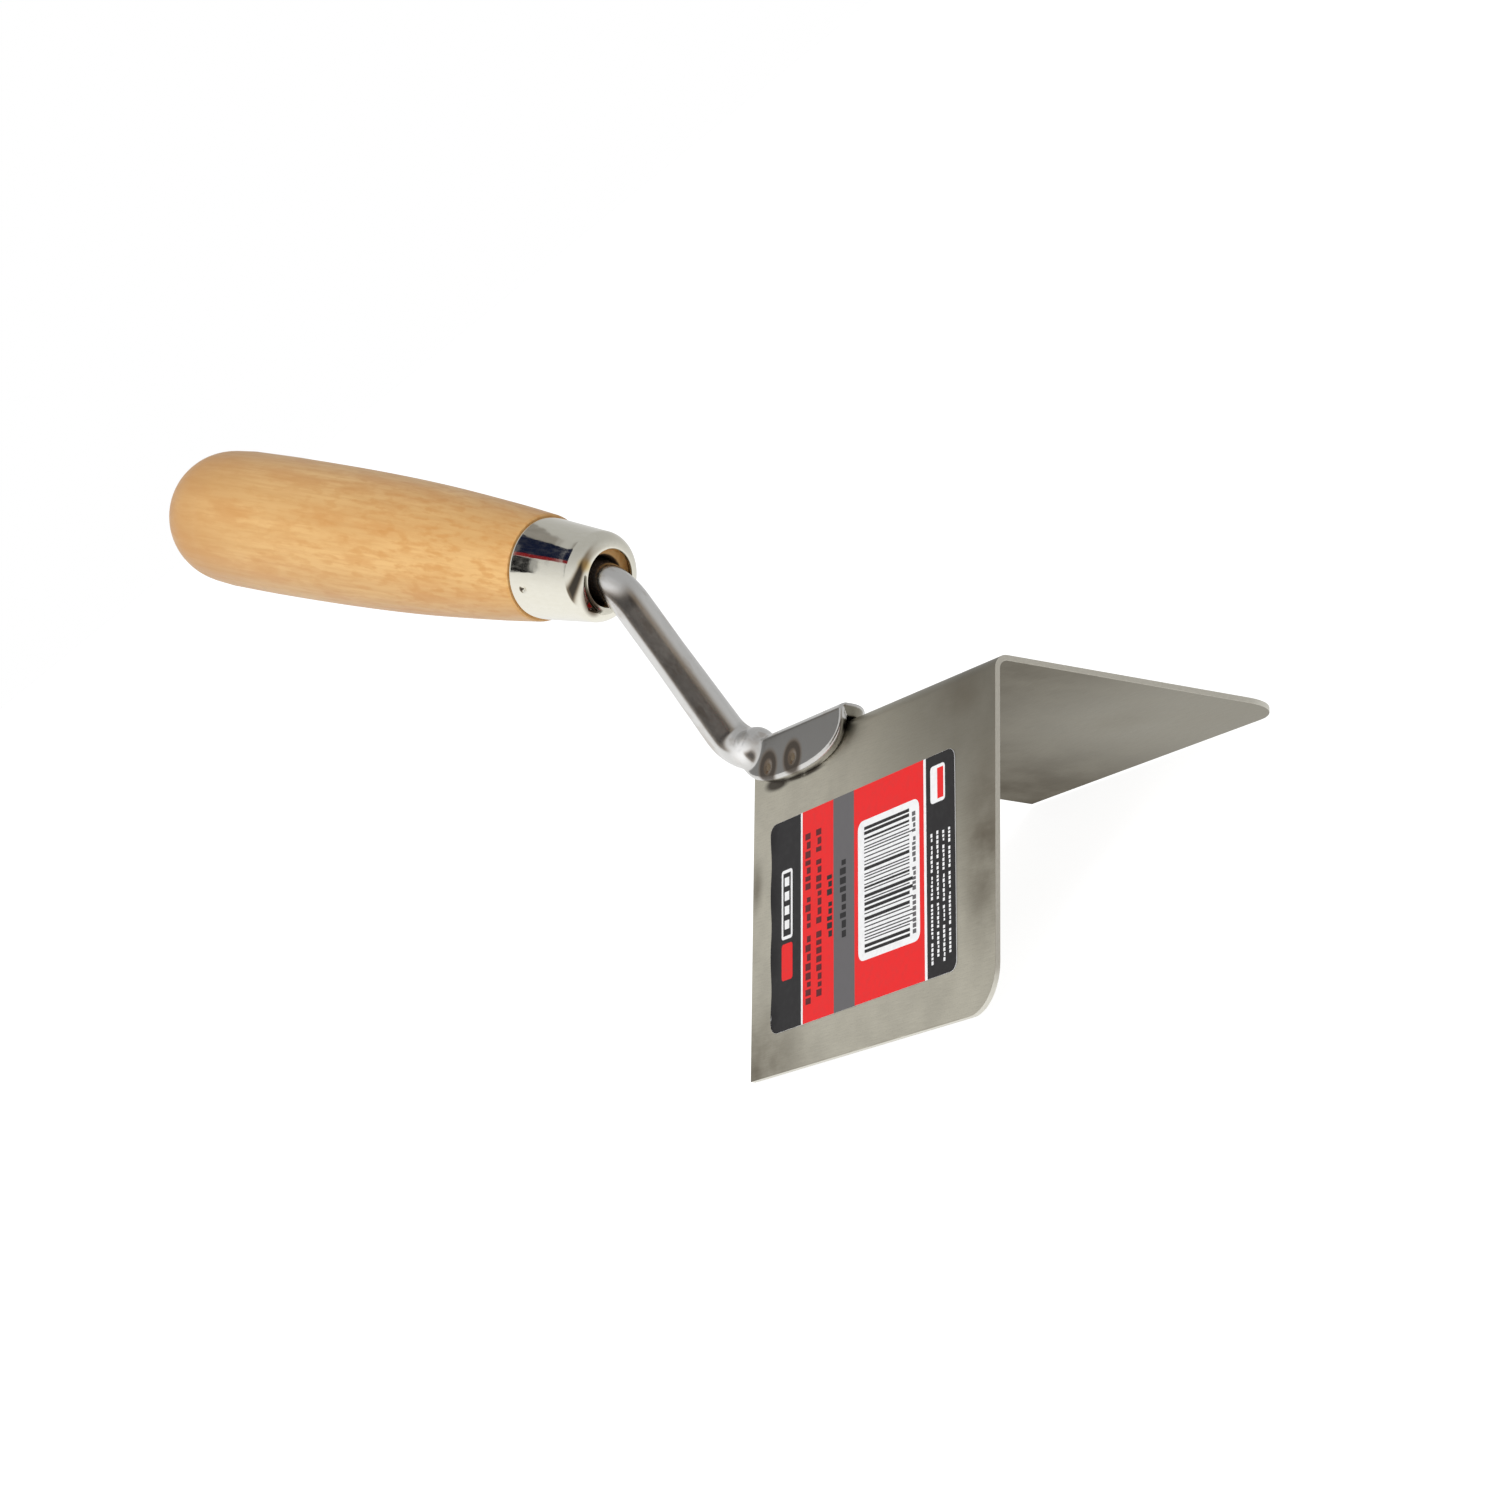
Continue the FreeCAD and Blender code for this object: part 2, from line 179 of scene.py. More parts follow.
def smooth_curve(knots, count):
    """A Catmull-Rom curve through the knots, with count points per span."""
    knots = np.array(knots, float)
    padded = np.vstack([2 * knots[0] - knots[1], knots, 2 * knots[-1] - knots[-2]])
    out = []
    for i in range(1, len(padded) - 2):
        a, b, c, d = padded[i - 1 : i + 3]
        for t in np.linspace(0, 1, count, endpoint=False):
            out.append(
                0.5
                * (2 * b + (c - a) * t + (2 * a - 5 * b + 4 * c - d) * t**2 + (3 * b - a - 3 * c + d) * t**3)
            )
    out.append(knots[-1])
    return [tuple(p) for p in out]


# ---- node helpers ----


class Graph:
    """A material's or world's nodes, built by short calls. A value may be a socket, a number or a colour."""

    def __init__(self, owner):
        owner.use_nodes = True
        self.tree = owner.node_tree
        self.tree.nodes.clear()

    def node(self, kind, inputs=(), **settings):
        made = self.tree.nodes.new("ShaderNode" + kind)
        for key, value in settings.items():
            setattr(made, key, value)
        for key, value in dict(inputs).items():
            self.feed(made.inputs[key], value)
        return made

    def feed(self, socket, value):
        if isinstance(value, bpy.types.NodeSocket):
            self.tree.links.new(value, socket)
        elif isinstance(value, (tuple, list)) and len(value) == 3 and socket.type == "RGBA":
            socket.default_value = (*value, 1)
        else:
            socket.default_value = value

    def math(self, operation, a, b=0.0):
        return self.node("Math", {0: a, 1: b}, operation=operation).outputs[0]

    def vector(self, operation, a, b=(0, 0, 0)):
        made = self.node("VectorMath", {0: a, 1: b}, operation=operation)
        return made.outputs["Value"] if operation in ("LENGTH", "DOT_PRODUCT") else made.outputs[0]

    def noise(self, place, stretch, detail=4.0, rough=0.55):
        scaled = self.vector("MULTIPLY", place, stretch)
        inputs = {"Vector": scaled, "Scale": 1.0, "Detail": detail, "Roughness": rough}
        return self.node("TexNoise", inputs).outputs["Fac"]

    def span(self, value, low, high, out_low=0.0, out_high=1.0):
        inputs = {"Value": value, "From Min": low, "From Max": high, "To Min": out_low, "To Max": out_high}
        return self.node("MapRange", inputs, interpolation_type="SMOOTHSTEP").outputs["Result"]

    def mix(self, share, a, b, blend="MIX"):
        made = self.node("Mix", data_type="RGBA", blend_type=blend)
        for name, value in (("Factor_Float", share), ("A_Color", a), ("B_Color", b)):
            self.feed(next(s for s in made.inputs if s.identifier == name), value)
        return next(s for s in made.outputs if s.identifier == "Result_Color")

    def blob(self, place, centre, reach, soft=0.6):
        """1 inside an ellipsoid round centre, falling to 0 outside it."""
        offset = self.vector("SUBTRACT", place, centre)
        scaled = self.vector("MULTIPLY", offset, tuple(1 / r for r in reach))
        return self.span(self.vector("LENGTH", scaled), 1.0, soft)

    def window(self, value, centre, half, soft):
        """1 while value is within half of centre, with soft edges."""
        away = self.math("ABSOLUTE", self.math("SUBTRACT", value, centre))
        return self.span(away, half + soft, half - soft)

    def bump(self, height, strength, distance=0.0001):
        inputs = {"Height": height, "Strength": strength, "Distance": distance}
        return self.node("Bump", inputs).outputs["Normal"]

    def finish(self, **inputs):
        named = {key.replace("_", " "): value for key, value in inputs.items()}
        shader = self.node("BsdfPrincipled", named)
        output = self.node("OutputMaterial")
        self.tree.links.new(shader.outputs[0], output.inputs["Surface"])


def place_in_mm(graph, origin=(0, 0, 0)):
    """Object coordinates in millimetres, measured from origin in metres."""
    place = graph.node("TexCoord").outputs["Object"]
    moved = graph.vector("SUBTRACT", place, origin)
    return graph.vector("MULTIPLY", moved, (1000, 1000, 1000))


def turned_place(graph):
    """Millimetres in the handle frame."""
    return graph.node("Attribute", attribute_name="turned").outputs["Vector"]


def sheet_place(graph):
    return graph.node("Attribute", attribute_name="sheet").outputs["Vector"]


def blade_material():
    material = bpy.data.materials.new("rolled_steel")
    g = Graph(material)
    place = sheet_place(g)
    mottle = g.noise(place, (0.09, 0.09, 1))
    grain = g.noise(place, (0.25, 5.0, 1), 6.0, 0.7)
    speckle = g.noise(place, (3.0, 3.0, 1), 3.0)
    split = g.node("SeparateXYZ", {0: place})
    along, signed = split.outputs[0], split.outputs[1]
    down = g.math("ABSOLUTE", signed)
    # Painted shade: the wings' outer faces are painted darker near the fold, more so towards the nose.
    by_fold = g.span(down, 50, 4)
    painted_shade_to_nose = g.math("MULTIPLY", by_fold, g.span(along, 15, 74))
    # Painted shade: the inner faces get a darker copy of the steel colour, darkest near the fold and at the
    # rear end.
    lit_by_fold = g.span(down, 4, 44, 0.26, 1.0)
    lit_by_rear = g.span(along, 4, 62)
    inner_gloom = g.math("SUBTRACT", 1.0, g.math("MULTIPLY", lit_by_fold, lit_by_rear))
    inside = g.math("GREATER_THAN", split.outputs[2], 0.5)
    outer_tone = g.mix(painted_shade_to_nose, (0.62, 0.59, 0.49), (0.21, 0.195, 0.155))
    inner_tone = g.mix(inner_gloom, (0.385, 0.37, 0.325), (0.09, 0.074, 0.052))
    colour = g.mix(inside, outer_tone, inner_tone)
    colour = g.mix(g.span(mottle, 0.35, 0.7, 0.0, 0.30), colour, (0.36, 0.34, 0.285))
    colour = g.mix(g.span(grain, 0.3, 0.7, 0.0, 0.18), colour, (0.28, 0.26, 0.215))
    colour = g.mix(g.span(speckle, 0.5, 0.75, 0.0, 0.18), colour, (0.20, 0.18, 0.145))
    rough_edge = g.noise(place, (0.35, 0.35, 1))
    cloud = g.noise(place, (0.12, 0.16, 1), 3.0)
    stains = (
        ((1, -59, 0), (26, 17, 9), 1.0),
        ((70, -5, 0), (12, 6, 9), 0.55),
        ((77, -32, 0), (11, 26, 9), 1.0),
        ((1, -25, 0), (3.5, 7, 9), 0.9),
        ((60, 40, 0), (14, 8, 9), 0.2),
    )
    for centre, reach, depth in stains:
        spot = g.math("MULTIPLY", g.blob(place, centre, reach, 0.0), g.span(cloud, 0.15, 0.75, 0.35, 1.0))
        colour = g.mix(g.math("MULTIPLY", spot, depth), colour, (0.17, 0.145, 0.105))
    # Painted shadow along the saddle's rim on the labelled wing, with a brown stain under it.
    for centre, reach in (((8.5, -6.9, 0), (5.6, 1.7, 9)), ((17.5, -7.1, 0), (8.5, 0.9, 9))):
        rim_shadow_and_stain = g.math("MULTIPLY", g.blob(place, centre, reach, 0.5), g.span(rough_edge, 0.15, 0.45))
        colour = g.mix(g.math("MULTIPLY", rim_shadow_and_stain, 0.92), colour, (0.030, 0.020, 0.011))
    g.finish(
        Base_Color=colour,
        # The inner faces' greyer specular tint adds to the same painted shade.
        Specular_Tint=g.mix(inside, (1, 1, 1), (0.60, 0.59, 0.56)),
        Metallic=1.0,
        Roughness=g.span(grain, 0.25, 0.75, 0.34, 0.46),
        Normal=g.bump(grain, 0.05),
    )
    return material


def cut_edge_material():
    material = bpy.data.materials.new("cut_edge")
    g = Graph(material)
    streak = g.noise(sheet_place(g), (1.2, 1.2, 4), 5.0)
    # The cut edges are painted lighter than the wing faces, as a painted highlight.
    colour = g.mix(streak, (0.60, 0.58, 0.51), (0.80, 0.78, 0.70))
    g.finish(Base_Color=colour, Metallic=1.0, Roughness=0.40, Normal=g.bump(streak, 0.3))
    return material


def tang_material(welds):
    material = bpy.data.materials.new("forged_steel")
    g = Graph(material)
    place = place_in_mm(g, tuple(ROOF))
    scale_marks = g.noise(place, (0.5, 0.5, 0.22), 5.0, 0.6)
    fine = g.noise(place, (4.0, 4.0, 1.6), 4.0)
    colour = g.mix(scale_marks, (0.64, 0.635, 0.62), (0.77, 0.765, 0.75))
    tarnish = g.span(g.noise(place, (0.30, 0.45, 0.16), 3.0), 0.50, 0.70, 0.0, 0.40)
    colour = g.mix(tarnish, colour, (0.40, 0.33, 0.26))
    height = g.node("SeparateXYZ", {0: place}).outputs[2]
    facing = g.node("NewGeometry").outputs["Normal"]
    flat = g.math(
        "MAXIMUM",
        g.vector("DOT_PRODUCT", facing, (0, SLANT, SLANT)),
        g.vector("DOT_PRODUCT", facing, (0, -SLANT, SLANT)),
    )
    # Painted shade: the saddle's flat faces below the rod, picked out by their normals.
    face = g.math("MULTIPLY", g.span(flat, 0.93, 0.99), g.span(height, 3.4, 2.2))
    # The saddle below the rod is evened to a light grey, which stays on its rounded rim and ridge as a painted
    # highlight.
    colour = g.mix(g.span(height, 2.5, 1.0, 0.0, 0.7), colour, (0.66, 0.65, 0.63))
    # Painted highlights on the crank's two bends.
    for centre, reach in (((1.6, -3.2, 41.2), (4, 3, 4)), ((2.6, -3.2, 3.0), (4, 3, 3.5))):
        colour = g.mix(g.blob(place, centre, reach, 0.2), colour, (0.98, 0.97, 0.96))
    # Painted shade on the saddle's flat faces.
    colour = g.mix(g.math("MULTIPLY", face, 0.9), colour, (0.172, 0.168, 0.160))
    # Painted shade in the small hollow at the saddle's nose.
    colour = g.mix(g.blob(place, (31.5, -1.6, -0.6), (2.2, 1.6, 1.6)), colour, (0.035, 0.030, 0.026))
    for centre in welds:
        away = g.vector("LENGTH", g.vector("SUBTRACT", place, centre))
        halo = g.span(away, 3.9, 2.6)
        ring = g.math("MULTIPLY", g.span(away, 1.2, 1.8), g.span(away, 3.3, 2.5))
        tint = g.mix(ring, (0.15, 0.11, 0.075), (0.050, 0.034, 0.020))
        colour = g.mix(g.math("MULTIPLY", halo, 0.92), colour, tint)
    g.finish(
        Base_Color=colour,
        Metallic=1.0,
        Roughness=g.span(fine, 0.3, 0.7, 0.20, 0.26),
        Normal=g.bump(scale_marks, 0.12, 0.0001),
    )
    return material


def wood_material():
    material = bpy.data.materials.new("lacquered_beech")
    g = Graph(material)
    place = turned_place(g)
    wander = g.noise(place, (0.02, 0.05, 0.05), 2.0)
    swung = g.vector("ADD", place, g.vector("SCALE", wander))
    bands = g.noise(place, (0.012, 0.16, 0.16), 3.0, 0.5)
    grain = g.noise(place, (0.03, 0.9, 0.9), 5.0, 0.6)
    pores = g.noise(place, (0.08, 1.6, 1.6), 4.0, 0.6)
    flecks = g.noise(place, (0.28, 0.90, 0.90), 3.0, 0.5)
    blotch = g.noise(swung, (0.06, 0.20, 0.20), 4.0, 0.6)
    along = g.node("SeparateXYZ", {0: place}).outputs[0]
    colour = g.mix(g.span(bands, 0.3, 0.7), (0.73, 0.42, 0.150), (0.84, 0.52, 0.205))
    colour = g.mix(g.span(grain, 0.45, 0.7, 0.0, 0.30), colour, (0.64, 0.34, 0.115))
    colour = g.mix(g.span(blotch, 0.46, 0.66, 0.0, 0.65), colour, (0.68, 0.33, 0.095))
    colour = g.mix(g.span(pores, 0.44, 0.70, 0.0, 0.40), colour, (0.66, 0.32, 0.090))
    figured = g.math("MULTIPLY", g.span(flecks, 0.46, 0.68), g.span(along, 20, 90, 0.25, 0.65))
    colour = g.mix(figured, colour, (0.66, 0.31, 0.080))
    # Painted shade: the wood gets darker towards the butt end.
    colour = g.mix(g.span(along, 36, 2, 0.0, 0.72), colour, (0.60, 0.30, 0.090))
    # Painted shade on the wall of the hole, seen past the ferrule's mouth.
    hole = g.vector("ADD", g.vector("MULTIPLY", place, (0, 1, 1)), (0, HOLE_SHIFT, 0))
    bore_shade = g.span(g.vector("LENGTH", hole), BORE + 0.6, BORE + 0.15)
    bore_shade = g.math("MULTIPLY", bore_shade, g.math("GREATER_THAN", along, GRIP))
    colour = g.mix(bore_shade, colour, (0.030, 0.017, 0.010))
    g.finish(
        Base_Color=colour,
        Roughness=g.span(grain, 0.3, 0.7, 0.36, 0.46),
        Coat_Weight=0.12,
        Coat_Roughness=0.3,
        Normal=g.bump(grain, 0.10),
    )
    return material


def ferrule_material():
    material = bpy.data.materials.new("bright_plate")
    g = Graph(material)
    place = turned_place(g)
    wave = g.noise(place, (0.12, 0.12, 0.12), 2.0)
    smear = g.noise(place, (0.5, 1.5, 1.5), 4.0)
    colour = g.mix(smear, (0.78, 0.75, 0.64), (0.86, 0.84, 0.75))
    # Painted shade: a dark brown crescent on one side of the mouth's lip.
    lip = g.blob(place, (MOUTH - 0.6, -MOUTH_RADIUS - 0.4, -1.2), (1.9, 2.0, 4.2), 0.5)
    colour = g.mix(g.math("MULTIPLY", lip, 0.9), colour, (0.10, 0.060, 0.034))
    # Painted highlight: a small yellow spot on the shoulder beside the mouth.
    yellow_highlight = g.blob(place, (MOUTH - 0.9, -3.6, 5.2), (1.8, 1.8, 1.8), 0.3)
    colour = g.mix(g.math("MULTIPLY", yellow_highlight, 0.7), colour, (0.75, 0.52, 0.13))
    g.finish(
        Base_Color=colour,
        Metallic=1.0,
        Roughness=g.span(smear, 0.3, 0.8, 0.045, 0.10),
        Normal=g.bump(wave, 0.2, 0.0003),
    )
    return material


def ink_material(name, colour, rough=0.35):
    material = bpy.data.materials.new(name)
    g = Graph(material)
    screen = g.noise(place_in_mm(g), (0.8, 0.8, 0.8), 4.0)
    worn = tuple(min(1.0, c * 0.9 + 0.008) for c in colour)
    g.finish(
        Base_Color=g.mix(g.span(screen, 0.4, 0.8), colour, worn),
        Roughness=rough,
        Specular_IOR_Level=0.15,
    )
    return material


# ---- blade ----


def wing_length_at(down):
    """How far forward the wing's front edge is, which rounds off at the nose corner."""
    past = down - (WING - NOSE_CORNER)
    if past <= 0:
        return BLADE_LENGTH
    return BLADE_LENGTH - NOSE_CORNER + math.sqrt(max(0.0, NOSE_CORNER**2 - past**2))


def blade_sections():
    """(signed distance from the fold, down, point on the outside, outward normal) from wing tip to wing tip."""
    corner = [WING - NOSE_CORNER * (1 - math.sin(t)) for t in np.linspace(0, math.pi / 2, 13)]
    flat = list(np.linspace(FOLD_RADIUS, WING - NOSE_CORNER, 16))
    downs = flat[:-1] + corner
    out = []
    for side in (-1, 1):
        rows = []
        for down in downs:
            point = wing_point(side, 0, down, 0)[1:]
            rows.append((side * down, down, point, np.array([side * SLANT, SLANT])))
        out.append(rows)
    bend = []
    centre = np.array([0, -FOLD_RADIUS / SLANT])
    for turn in np.radians(np.linspace(-45, 45, 11))[1:-1]:
        normal = np.array([math.sin(turn), math.cos(turn)])
        bend.append((turn * FOLD_RADIUS, 0.0, centre + FOLD_RADIUS * normal, normal))
    return out[0][::-1] + bend + out[1]


def make_blade():
    sections = blade_sections()
    columns = np.linspace(0, 1, 33)
    points, place, faces = [], [], []
    for depth in (0, SHEET):
        for signed, down, outer, normal in sections:
            y, z = outer - depth * normal
            for share in columns:
                x = share * wing_length_at(down)
                points.append((x, y, z))
                place.append((x, signed, depth))
    rows, cols = len(sections), len(columns)
    layer = rows * cols

    def index(level, i, j):
        return level * layer + i * cols + j

    for i in range(rows - 1):
        for j in range(cols - 1):
            outer = [index(0, *c) for c in ((i, j), (i, j + 1), (i + 1, j + 1), (i + 1, j))]
            inner = [index(1, *c) for c in ((i, j), (i + 1, j), (i + 1, j + 1), (i, j + 1))]
            faces += [outer, inner]
    plain = len(faces)
    border = [(0, j) for j in range(cols)] + [(i, cols - 1) for i in range(1, rows)]
    border += [(rows - 1, j) for j in range(cols - 2, -1, -1)] + [(i, 0) for i in range(rows - 2, 0, -1)]
    for (i, j), (k, m) in zip(border, border[1:] + border[:1]):
        faces.append([index(0, k, m), index(0, i, j), index(1, i, j), index(1, k, m)])
    obj = make_mesh("blade_sheet", roof_to_row(points), faces, [blade_material(), cut_edge_material()])
    for polygon in obj.data.polygons[plain:]:
        polygon.material_index = 1
    attribute = obj.data.attributes.new("sheet", "FLOAT_VECTOR", "POINT")
    attribute.data.foreach_set("vector", np.array(place, np.float32).ravel())
    add_bevel(obj, 0.18)
    return attach(obj, "blade_steel", "blade")


# ---- forged tang, as a distance field turned into a mesh ----


def to_stretch(p, a, b):
    """Distance from points to the straight stretch a to b in the XZ plane, before the rod's radius."""
    a3, b3 = np.array([a[0], 0, a[1]]), np.array([b[0], 0, b[1]])
    along = b3 - a3
    share = np.clip(((p - a3) @ along) / (along @ along), 0, 1)
    return np.linalg.norm(p - a3 - share[:, None] * along, axis=1)


def bend_arc(before, corner, after, radius):
    """Start, end and centre of the arc that rounds a corner of the rod."""
    back = (before - corner) / np.linalg.norm(before - corner)
    ahead = (after - corner) / np.linalg.norm(after - corner)
    half = math.acos(float(np.clip(back @ ahead, -1, 1))) / 2
    reach = radius / math.tan(half)
    middle = (back + ahead) / np.linalg.norm(back + ahead)
    return corner + back * reach, corner + ahead * reach, corner + middle * radius / math.sin(half)


def to_arc(p, start, end, centre):
    """Distance from points to an arc in the XZ plane. Far from its angle it is taken as large."""
    flat = p[:, [0, 2]] - centre
    radius = np.linalg.norm(start - centre)
    middle = (start + end) / 2 - centre
    middle /= np.linalg.norm(middle)
    reach = ((start - centre) / radius) @ middle
    span = np.linalg.norm(flat, axis=1)
    inside = (flat @ middle) >= reach * span
    distance = np.hypot(span - radius, p[:, 1])
    return np.where(inside, distance, 1e3)


def rod_distance(p):
    heading = np.array([math.cos(TILT), -math.sin(TILT)])
    tail = CRANK_TOP - heading * TAIL_SEEN
    top = bend_arc(tail, CRANK_TOP, CRANK_FOOT, TOP_BEND)
    foot = bend_arc(CRANK_TOP, CRANK_FOOT, TOE, FOOT_BEND)
    parts = [
        to_stretch(p, tail, top[0]),
        to_arc(p, *top),
        to_stretch(p, top[1], foot[0]),
        to_arc(p, *foot),
        to_stretch(p, foot[1], TOE),
    ]
    swell = ROD_SWELL * np.clip((24 - p[:, 2]) / 20, 0, 1)
    return np.minimum.reduce(parts) - ROD_RADIUS - swell


def round_meet(a, b, radius):
    """Intersection of two fields with its outer corner rounded."""
    u = np.maximum(a + radius, 0)
    v = np.maximum(b + radius, 0)
    return np.minimum(np.maximum(a, b), -radius) + np.hypot(u, v)


def soft_join(a, b, reach):
    """Union of two fields with the valley between them filled."""
    share = np.maximum(reach - np.abs(a - b), 0) / reach
    return np.minimum(a, b) - share * share * reach / 4


def saddle_distance(p):
    side = np.abs(p[:, 1])
    near = (side + p[:, 2]) * SLANT
    far = (-side + p[:, 2]) * SLANT
    down = (side - p[:, 2]) * SLANT
    along = p[:, 0] - SADDLE_MIDDLE
    over = np.clip(np.maximum(near, far), 0, SADDLE_WALL)
    reach = np.where(along < 0, SADDLE_REAR_REACH, SADDLE_FRONT_REACH + SADDLE_LEAN * over)
    u, v = np.abs(along) / reach, np.maximum(down, 0) / SADDLE_LEG
    span = np.maximum((u**SADDLE_POWER + v**SADDLE_POWER) ** (1 / SADDLE_POWER), 1e-3)
    slope_u = (u / span) ** (SADDLE_POWER - 1) / reach
    slope_v = (v / span) ** (SADDLE_POWER - 1) / SADDLE_LEG
    outline = (span - 1) / np.maximum(np.hypot(slope_u, slope_v), 1 / 30)
    outline = round_meet(outline, -p[:, 0] + 0.02, 0.7)
    outer = round_meet(near - SADDLE_WALL, far - SADDLE_WALL, SADDLE_RIDGE)
    plate = round_meet(outer, outline, SADDLE_RIM)
    inner = 0.03 - np.maximum(near, far)
    return round_meet(plate, inner, 0.15)


def weld_centres():
    low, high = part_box("spot_welds")
    radius = 1.6
    stations = ((low.x - ROOF.x) / MM + radius, (high.x - ROOF.x) / MM - radius)
    return [(x, side) for side in (-1, 1) for x in stations]


def tang_distance(p):
    joined = soft_join(rod_distance(p), saddle_distance(p), 1.3)
    over = np.maximum((p[:, 1] + p[:, 2]) * SLANT, (-p[:, 1] + p[:, 2]) * SLANT)
    inside_plan = (p[:, 0] > -0.02) & (np.abs(p[:, 1]) < WING * SLANT)
    joined = np.where(inside_plan, np.maximum(joined, 0.03 - over), joined)
    for along, side in weld_centres():
        centre = wing_point(side, along, 4.3, SADDLE_WALL + 3.1)
        dent = np.linalg.norm(p - centre, axis=1) - 3.35
        joined = np.maximum(joined, -dent)
    return joined


def surface_net(field, low, high, step):
    """A closed quad mesh on the zero level of a distance field."""
    axes = [np.arange(a, b + step, step) for a, b in zip(low, high)]
    grid = np.stack(np.meshgrid(*axes, indexing="ij"), -1)
    shape = grid.shape[:3]
    flat = grid.reshape(-1, 3)
    values = np.concatenate([field(part) for part in np.array_split(flat, 12)]).reshape(shape)
    inside = values < 0
    total = np.zeros(tuple(n - 1 for n in shape) + (3,))
    count = np.zeros(tuple(n - 1 for n in shape))
    crossings = []
    for axis in range(3):
        a = [slice(None)] * 3
        b = [slice(None)] * 3
        a[axis], b[axis] = slice(0, -1), slice(1, None)
        va, vb = values[tuple(a)], values[tuple(b)]
        cross = inside[tuple(a)] != inside[tuple(b)]
        share = np.where(cross, va / np.where(va == vb, 1, va - vb), 0)
        where = grid[tuple(a)].copy()
        where[..., axis] += share * step
        crossings.append((cross, inside[tuple(a)]))
        others = [k for k in range(3) if k != axis]
        for i in (0, 1):
            for j in (0, 1):
                src = [slice(None)] * 3
                for k, shift in zip(others, (i, j)):
                    src[k] = slice(shift, shape[k] - 1 + shift)
                src[axis] = slice(0, shape[axis] - 1)
                hit = cross[tuple(src)]
                total += where[tuple(src)] * hit[..., None]
                count += hit
    used = count > 0
    index = -np.ones(count.shape, int)
    index[used] = np.arange(used.sum())
    points = total[used] / count[used][:, None]
    faces = []
    for axis in range(3):
        cross, first_inside = crossings[axis]
        others = [k for k in range(3) if k != axis]
        hits = np.argwhere(cross)
        for k in others:
            hits = hits[(hits[:, k] > 0) & (hits[:, k] < shape[k] - 1)]
        corners = []
        for i, j in ((1, 1), (0, 1), (0, 0), (1, 0)):
            cell = hits.copy()
            cell[:, others[0]] -= i
            cell[:, others[1]] -= j
            corners.append(index[tuple(cell.T)])
        quads = np.stack(corners, 1)
        flip = first_inside[tuple(hits.T)]
        if axis == 1:
            flip = ~flip
        quads[~flip] = quads[~flip][:, ::-1]
        faces.append(quads)
    return points, np.concatenate(faces)


def settle(points, field, rounds=3, probe=0.02, most=0.25):
    """Moves points onto the zero level of the field."""
    for _ in range(rounds):
        value = field(points)
        slope = np.zeros_like(points)
        for axis in range(3):
            shift = np.zeros(3)
            shift[axis] = probe
            slope[:, axis] = (field(points + shift) - field(points - shift)) / (2 * probe)
        size = np.maximum((slope**2).sum(1), 0.25)
        move = np.clip(value / size, -most, most)
        points = points - slope * move[:, None]
    return points


def make_tang():
    step = 0.3
    heading = np.array([math.cos(TILT), -math.sin(TILT)])
    rear = CRANK_TOP - heading * TAIL_SEEN
    low = np.array([rear[0] - 4.2, -8.1, -7.5])
    high = np.array([34.4, 8.1, rear[1] + 4.4])
    points, faces = surface_net(tang_distance, low, high, step)
    points = settle(points, tang_distance)
    welds = [tuple(wing_point(side, along, 4.3, SADDLE_WALL)) for along, side in weld_centres()]
    obj = make_mesh(
        "tang_forged",
        roof_to_row(points),
        faces.tolist(),
        [tang_material(welds)],
        math.radians(60),
    )
    return attach(obj, "tang_steel", "tang")


# ---- handle and ferrule ----


def make_handle():
    grip = smooth_curve(
        [(0, 0), (0.7, 4.6), (2.6, 8.2), (5.9, 11.1), (10.3, 12.8), (17.0, 13.4)], 6
    )[:-1]
    side = [(17.0, 13.4), (32, 13.45), (53, 13.15), (73, 12.4), (93, 10.98), (103.6, 10.0)]
    grip += smooth_curve(side, 8)
    seat = FERRULE_REAR - FERRULE_WALL
    nose = MOUTH - 1.3
    hole_end = CRANK_STATION - TAIL_LENGTH
    grip += [
        (GRIP - 0.25, 9.92),
        (GRIP, 9.7),
        (GRIP, seat - 0.05),
        (MOUTH - FERRULE_SHOULDER, FERRULE_FRONT - FERRULE_WALL - 0.1),
        (nose - 0.4, MOUTH_RADIUS + 0.9),
        (nose, MOUTH_RADIUS + 0.5),
        (nose, BORE + 0.35),
        (nose - 0.5, BORE),
        (nose - 14, ROD_RADIUS + 0.05),
        (hole_end, ROD_RADIUS + 0.05),
        (hole_end - TAIL_POINT, 1.65),
        (hole_end - TAIL_POINT, 0),
    ]

    def off_centre(x, r):
        """The hole's mouth was drilled a little to one side."""
        return -HOLE_SHIFT * max(0.0, (x - nose + 14) / 14) if r < BORE + 0.4 and x > nose - 14 else 0.0

    obj = lathe("handle_turned", grip, [wood_material()], shift=off_centre)
    return attach(obj, "handle_wood", "handle")


def make_tail():
    """The stretch of tang hidden in the wood, up to where the forged piece takes over."""
    hole_end = CRANK_STATION - TAIL_LENGTH
    front = CRANK_STATION - TAIL_SEEN
    profile = [
        (hole_end - TAIL_POINT + 0.1, 0),
        (hole_end - TAIL_POINT + 0.1, 1.6),
        (hole_end, ROD_RADIUS),
        (front, ROD_RADIUS),
        (front, 0),
    ]
    obj = lathe("tang_tail", profile, [tang_material([])], 48)
    return attach(obj, "tang_steel")


def stake_dent(x, turn):
    """Two small punched dimples, one on each side near the ferrule's rear edge."""
    if x > GRIP + 6 or x < GRIP:
        return 0.0
    off = min(abs(turn - STAKE_TURN), abs(turn - (STAKE_TURN - math.pi) % (2 * math.pi)))
    reach = math.hypot(x - GRIP - 3.3, off * FERRULE_REAR)
    return 0.42 * math.exp(-((reach / 0.55) ** 2))


STAKE_TURN = math.radians(168)


